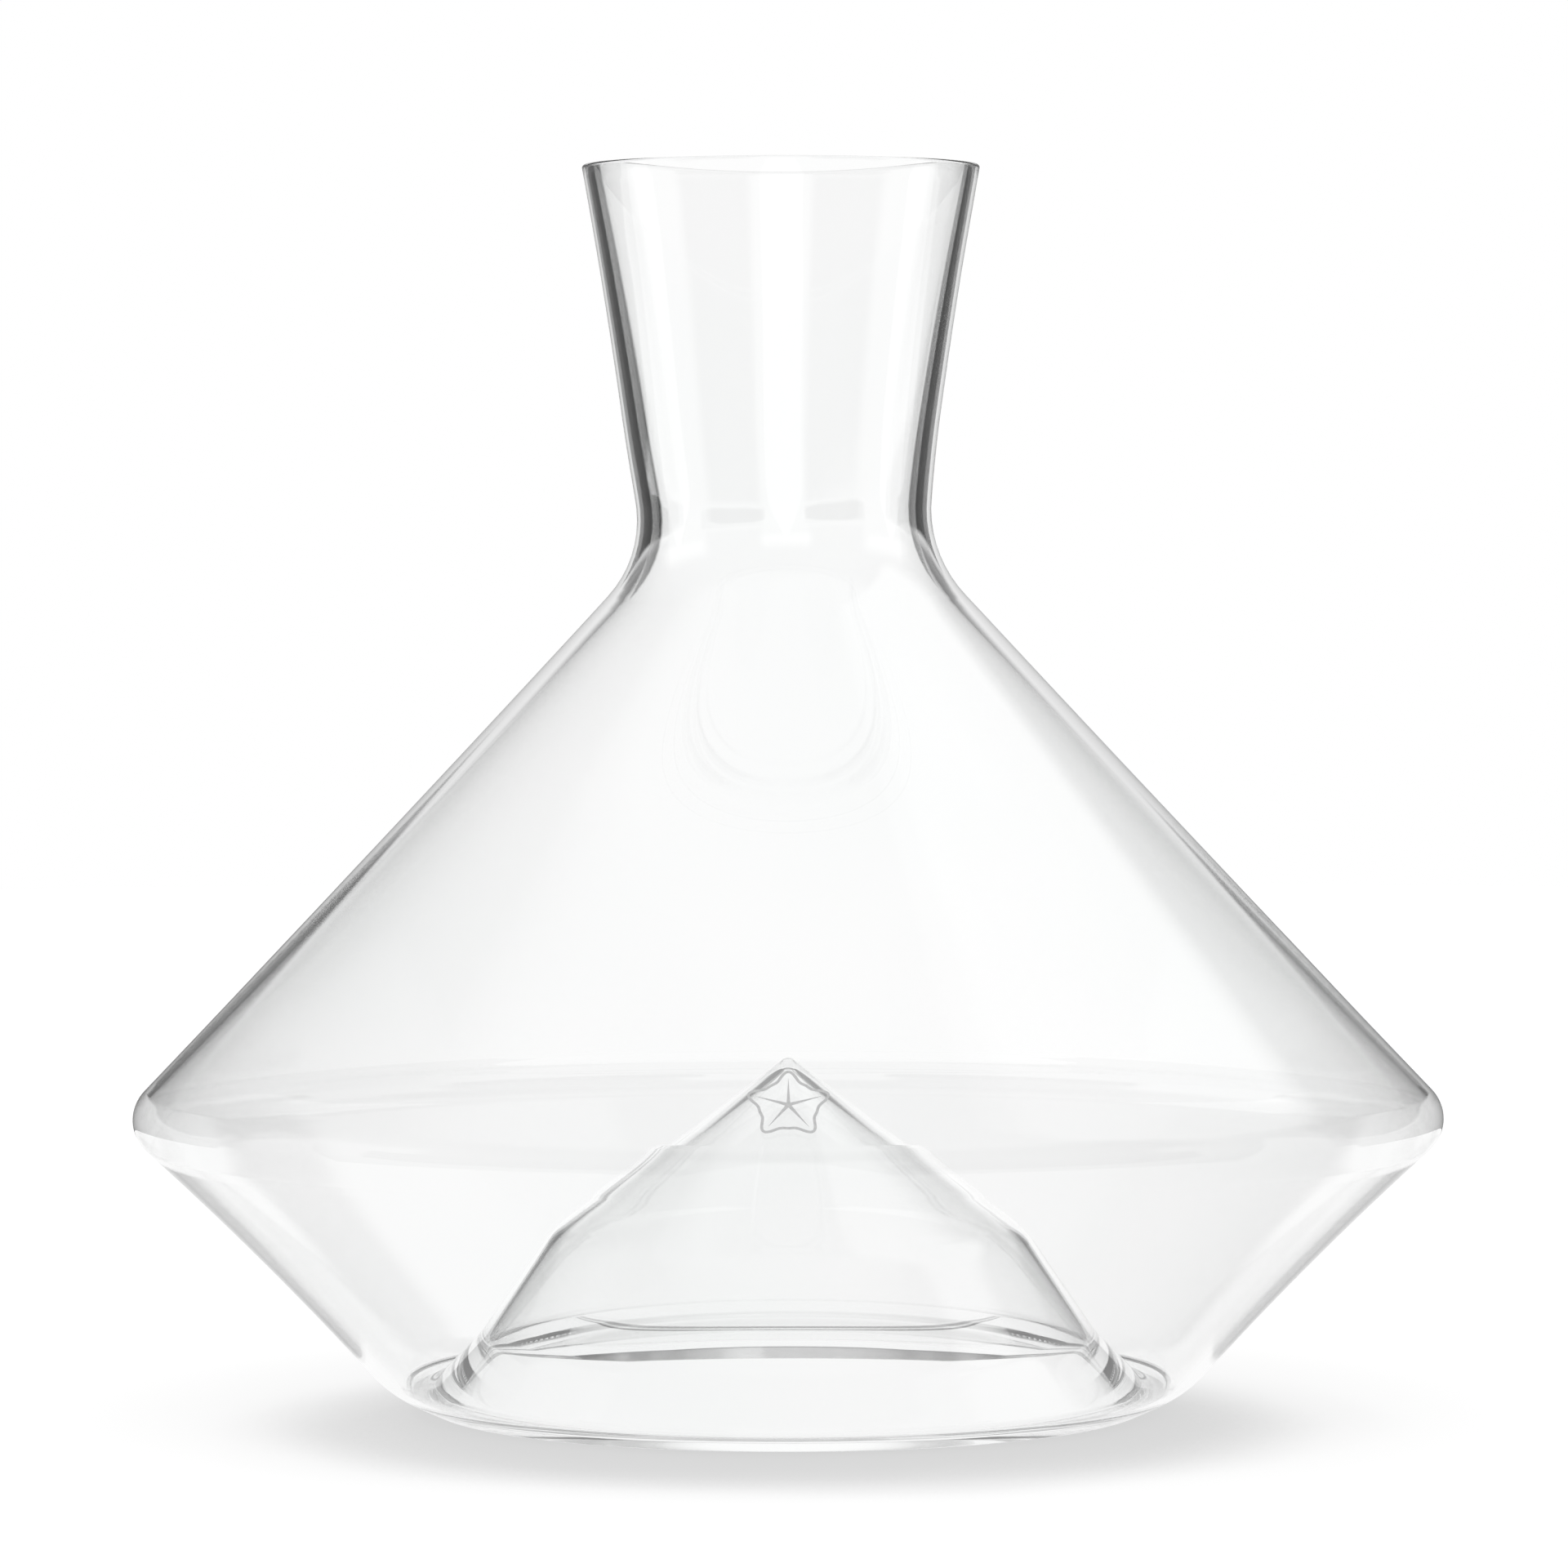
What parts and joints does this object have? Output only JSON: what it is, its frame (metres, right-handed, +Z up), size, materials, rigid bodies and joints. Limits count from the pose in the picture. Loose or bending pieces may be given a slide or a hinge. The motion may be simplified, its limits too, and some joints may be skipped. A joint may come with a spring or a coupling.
{
  "type": "wine decanter",
  "caption": "Clear glass wine decanter with a flared neck, a wide double-cone body and a tall pointed punt.",
  "frame": {"origin": "centre of the ring that the decanter stands on, on the surface under it", "axes": "+Z up along the axis of the glass, -Y towards the front, where the fired-on leaf is"},
  "size_m": [0.2086, 0.2086, 0.198],
  "materials": {
    "clear_glass": "clear, fire-polished",
    "fired_enamel": "pale grey enamel fired on to the glass, matt"
  },
  "bodies": {
    "root": {"glass_vessel": "clear_glass", "fired_leaf_mark": "fired_enamel"}
  },
  "joints": []
}
